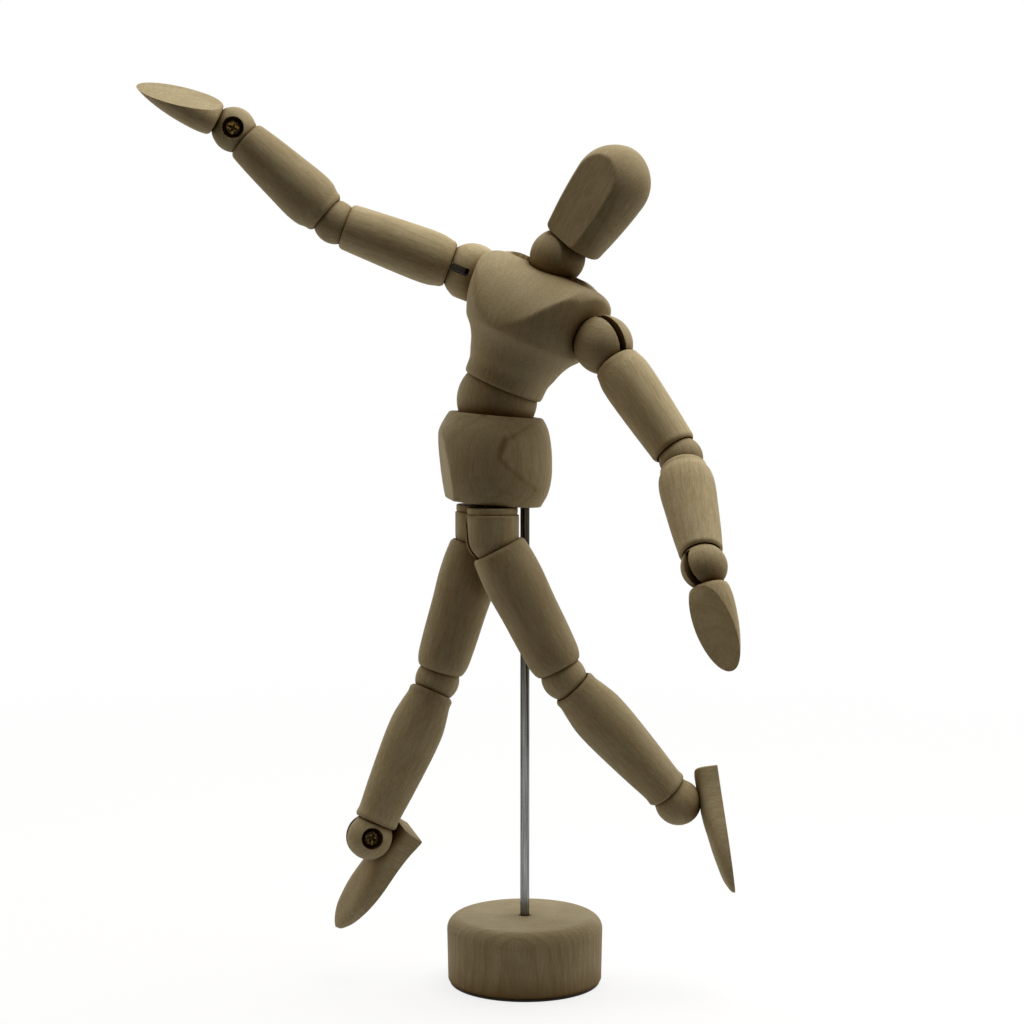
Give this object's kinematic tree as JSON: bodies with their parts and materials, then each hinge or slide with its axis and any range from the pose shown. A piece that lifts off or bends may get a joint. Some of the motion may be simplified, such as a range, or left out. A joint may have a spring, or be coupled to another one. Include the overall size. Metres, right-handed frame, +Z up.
{
  "type": "artist mannequin",
  "caption": "Jointed wooden drawing mannequin with egg-shaped head, planed chest and slotted ball joints, striding on a steel rod over a round wooden base.",
  "frame": {"origin": "centre of the base's underside, where it stands on the table", "axes": "+Z up along the rod; the figure walks towards -X and its left side faces -Y"},
  "size_m": [0.2208, 0.1202, 0.339],
  "materials": {
    "wood": "fine sanded, unvarnished",
    "steel": "drawn wire and stamped sheet",
    "brass": "brass-plated screw",
    "felt": "dark felt pad"
  },
  "bodies": {
    "stand": {"base": "wood", "base_pad": "felt", "rod": "steel"},
    "pelvis": {"pelvis": "wood"},
    "waist_ball": {"waist_ball": "wood", "waist_pin": "steel"},
    "waist_tongue": {"waist_tongue": "steel"},
    "torso": {"torso": "wood"},
    "neck_ball": {"neck_ball": "wood", "neck_pin": "steel"},
    "neck_tongue": {"neck_tongue": "steel"},
    "head": {"head": "wood"},
    "left_shoulder_ball": {"left_shoulder_ball": "wood", "left_shoulder_screw": "brass"},
    "left_shoulder_tongue": {"left_shoulder_tongue": "steel"},
    "left_upper_arm": {"left_upper_arm": "wood", "left_elbow_upper_rod": "steel"},
    "left_elbow_ball": {"left_elbow_ball": "wood"},
    "left_forearm": {"left_forearm": "wood", "left_elbow_lower_rod": "steel"},
    "left_wrist_ball": {"left_wrist_ball": "wood", "left_wrist_screw": "brass"},
    "left_hand": {"left_hand": "wood", "left_wrist_tongue": "steel"},
    "left_hip_ball": {"left_hip_ball": "wood", "left_hip_screw": "brass"},
    "left_hip_tongue": {"left_hip_tongue": "steel"},
    "left_thigh": {"left_thigh": "wood", "left_knee_upper_rod": "steel"},
    "left_knee_ball": {"left_knee_ball": "wood"},
    "left_shin": {"left_shin": "wood", "left_knee_lower_rod": "steel"},
    "left_ankle_ball": {"left_ankle_ball": "wood", "left_ankle_screw": "brass"},
    "left_foot": {"left_foot": "wood", "left_ankle_tongue": "steel"},
    "right_shoulder_ball": {"right_shoulder_ball": "wood", "right_shoulder_screw": "brass"},
    "right_shoulder_tongue": {"right_shoulder_tongue": "steel"},
    "right_upper_arm": {"right_upper_arm": "wood", "right_elbow_upper_rod": "steel"},
    "right_elbow_ball": {"right_elbow_ball": "wood"},
    "right_forearm": {"right_forearm": "wood", "right_elbow_lower_rod": "steel"},
    "right_wrist_ball": {"right_wrist_ball": "wood", "right_wrist_screw": "brass"},
    "right_hand": {"right_hand": "wood", "right_wrist_tongue": "steel"},
    "right_hip_ball": {"right_hip_ball": "wood", "right_hip_screw": "brass"},
    "right_hip_tongue": {"right_hip_tongue": "steel"},
    "right_thigh": {"right_thigh": "wood", "right_knee_upper_rod": "steel"},
    "right_knee_ball": {"right_knee_ball": "wood"},
    "right_shin": {"right_shin": "wood", "right_knee_lower_rod": "steel"},
    "right_ankle_ball": {"right_ankle_ball": "wood", "right_ankle_screw": "brass"},
    "right_foot": {"right_foot": "wood", "right_ankle_tongue": "steel"}
  },
  "joints": [
    {"name": "figure_turn", "type": "hinge", "parent": "stand", "child": "pelvis", "pos_m": [0, 0, 0.19], "axis": [0, 0, -1], "continuous": true},
    {"name": "waist_swivel", "type": "hinge", "parent": "pelvis", "child": "waist_ball", "pos_m": [-0.01043, -0.003, 0.22103], "axis": [0, 0, 1], "continuous": true},
    {"name": "waist_bend", "type": "hinge", "parent": "waist_ball", "child": "waist_tongue", "pos_m": [-0.01043, -0.003, 0.22103], "axis": [0.1767, 0.9843, 0], "range_deg": [-52, 10]},
    {"name": "waist_twist", "type": "hinge", "parent": "waist_tongue", "child": "torso", "pos_m": [-0.01043, -0.003, 0.22103], "axis": [0.3901, -0.07, 0.9181], "continuous": true},
    {"name": "neck_swivel", "type": "hinge", "parent": "torso", "child": "neck_ball", "pos_m": [0.01196, -0.00702, 0.27373], "axis": [0.3901, -0.07, 0.9181], "continuous": true},
    {"name": "neck_bend", "type": "hinge", "parent": "neck_ball", "child": "neck_tongue", "pos_m": [0.01196, -0.00702, 0.27373], "axis": [0.5932, 0.7817, -0.1924], "range_deg": [-44, 14]},
    {"name": "neck_twist", "type": "hinge", "parent": "neck_tongue", "child": "head", "pos_m": [0.01196, -0.00702, 0.27373], "axis": [-0.5561, 0.225, -0.8001], "continuous": true},
    {"name": "left_shoulder_swivel", "type": "hinge", "parent": "torso", "child": "left_shoulder_ball", "pos_m": [0.02832, -0.02261, 0.24141], "axis": [0.7676, -0.526, -0.3662], "continuous": true},
    {"name": "left_shoulder_bend", "type": "hinge", "parent": "left_shoulder_ball", "child": "left_shoulder_tongue", "pos_m": [0.02832, -0.02261, 0.24141], "axis": [0.7685, 0.6047, 0.2092], "range_deg": [-105, 28]},
    {"name": "left_upper_arm_twist", "type": "hinge", "parent": "left_shoulder_tongue", "child": "left_upper_arm", "pos_m": [0.02832, -0.02261, 0.24141], "axis": [-0.512, 0.385, 0.7679], "continuous": true},
    {"name": "left_elbow_upper", "type": "hinge", "parent": "left_upper_arm", "child": "left_elbow_ball", "pos_m": [0.05512, -0.04276, 0.20122], "axis": [-0.4963, 0.5971, -0.6302], "range_deg": [-38, 14]},
    {"name": "left_elbow_lower", "type": "hinge", "parent": "left_elbow_ball", "child": "left_forearm", "pos_m": [0.05512, -0.04276, 0.20122], "axis": [-0.4963, 0.5971, -0.6302], "range_deg": [-38, 14]},
    {"name": "left_wrist_swivel", "type": "hinge", "parent": "left_forearm", "child": "left_wrist_ball", "pos_m": [0.06075, -0.07551, 0.16575], "axis": [0.116, -0.6738, -0.7298], "continuous": true},
    {"name": "left_wrist_bend", "type": "hinge", "parent": "left_wrist_ball", "child": "left_hand", "pos_m": [0.06075, -0.07551, 0.16575], "axis": [0.5483, -0.6876, 0.4761], "range_deg": [-95, 70]},
    {"name": "left_hip_swivel", "type": "hinge", "parent": "pelvis", "child": "left_hip_ball", "pos_m": [-0.01205, -0.01393, 0.1704], "axis": [0, 0, 1], "range_deg": [-170, 8]},
    {"name": "left_hip_bend", "type": "hinge", "parent": "left_hip_ball", "child": "left_hip_tongue", "pos_m": [-0.01205, -0.01393, 0.1704], "axis": [-0.2863, 0.9415, -0.1778], "range_deg": [-14, 60]},
    {"name": "left_thigh_twist", "type": "hinge", "parent": "left_hip_tongue", "child": "left_thigh", "pos_m": [-0.01205, -0.01393, 0.1704], "axis": [-0.4542, 0.03, 0.8904], "continuous": true},
    {"name": "left_knee_upper", "type": "hinge", "parent": "left_thigh", "child": "left_knee_ball", "pos_m": [0.01434, -0.01567, 0.11867], "axis": [0.3001, -0.9359, 0.1846], "range_deg": [-30, 18]},
    {"name": "left_knee_lower", "type": "hinge", "parent": "left_knee_ball", "child": "left_shin", "pos_m": [0.01434, -0.01567, 0.11867], "axis": [0.3001, -0.9359, 0.1846], "range_deg": [-30, 18]},
    {"name": "left_ankle_swivel", "type": "hinge", "parent": "left_shin", "child": "left_ankle_ball", "pos_m": [0.05716, -0.01132, 0.07117], "axis": [-0.668, -0.068, 0.741], "continuous": true},
    {"name": "left_ankle_bend", "type": "hinge", "parent": "left_ankle_ball", "child": "left_foot", "pos_m": [0.05716, -0.01132, 0.07117], "axis": [0.024, 0.9834, -0.1801], "range_deg": [-26, 135]},
    {"name": "right_shoulder_swivel", "type": "hinge", "parent": "torso", "child": "right_shoulder_ball", "pos_m": [-0.01986, 0.01112, 0.26837], "axis": [-0.7676, 0.526, 0.3662], "continuous": true},
    {"name": "right_shoulder_bend", "type": "hinge", "parent": "right_shoulder_ball", "child": "right_shoulder_tongue", "pos_m": [-0.01986, 0.01112, 0.26837], "axis": [-0.3492, 0.0631, -0.9349], "range_deg": [-48, 115]},
    {"name": "right_upper_arm_twist", "type": "hinge", "parent": "right_shoulder_tongue", "child": "right_upper_arm", "pos_m": [-0.01986, 0.01112, 0.26837], "axis": [0.937, 0.03, -0.348], "continuous": true},
    {"name": "right_elbow_upper", "type": "hinge", "parent": "right_upper_arm", "child": "right_elbow_ball", "pos_m": [-0.07121, 0.00947, 0.28744], "axis": [-0.0261, 0.9995, 0.0159], "range_deg": [-37, 14]},
    {"name": "right_elbow_lower", "type": "hinge", "parent": "right_elbow_ball", "child": "right_forearm", "pos_m": [-0.07121, 0.00947, 0.28744], "axis": [-0.0261, 0.9995, 0.0159], "range_deg": [-37, 14]},
    {"name": "right_wrist_swivel", "type": "hinge", "parent": "right_forearm", "child": "right_wrist_ball", "pos_m": [-0.10882, 0.00795, 0.3217], "axis": [0.739, 0.03, -0.673], "continuous": true},
    {"name": "right_wrist_bend", "type": "hinge", "parent": "right_wrist_ball", "child": "right_hand", "pos_m": [-0.10882, 0.00795, 0.3217], "axis": [0.065, -0.9975, 0.027], "range_deg": [-95, 72]},
    {"name": "right_hip_swivel", "type": "hinge", "parent": "pelvis", "child": "right_hip_ball", "pos_m": [-0.0166, 0.00843, 0.17], "axis": [0, 0, 1], "range_deg": [-165, 65]},
    {"name": "right_hip_bend", "type": "hinge", "parent": "right_hip_ball", "child": "right_hip_tongue", "pos_m": [-0.0166, 0.00843, 0.17], "axis": [0.0979, -0.9952, -0.0086], "range_deg": [-22, 9]},
    {"name": "right_thigh_twist", "type": "hinge", "parent": "right_hip_tongue", "child": "right_thigh", "pos_m": [-0.0166, 0.00843, 0.17], "axis": [-0.2872, -0.02, -0.9577], "continuous": true},
    {"name": "right_knee_upper", "type": "hinge", "parent": "right_thigh", "child": "right_knee_ball", "pos_m": [-0.03329, 0.00727, 0.11436], "axis": [-0.7989, 0.5566, 0.228], "range_deg": [-30, 18]},
    {"name": "right_knee_lower", "type": "hinge", "parent": "right_knee_ball", "child": "right_shin", "pos_m": [-0.03329, 0.00727, 0.11436], "axis": [-0.7989, 0.5566, 0.228], "range_deg": [-30, 18]},
    {"name": "right_ankle_swivel", "type": "hinge", "parent": "right_shin", "child": "right_ankle_ball", "pos_m": [-0.05862, -0.00556, 0.05689], "axis": [-0.3952, -0.2001, -0.8965], "continuous": true},
    {"name": "right_ankle_bend", "type": "hinge", "parent": "right_ankle_ball", "child": "right_foot", "pos_m": [-0.05862, -0.00556, 0.05689], "axis": [-0.2175, 0.9722, -0.0872], "range_deg": [-1, 150]}
  ],
  "couplings": [
    {"joint": "left_elbow_lower", "follows": "left_elbow_upper", "ratio": 1},
    {"joint": "left_knee_lower", "follows": "left_knee_upper", "ratio": 1},
    {"joint": "right_elbow_lower", "follows": "right_elbow_upper", "ratio": 1},
    {"joint": "right_knee_lower", "follows": "right_knee_upper", "ratio": 1}
  ]
}
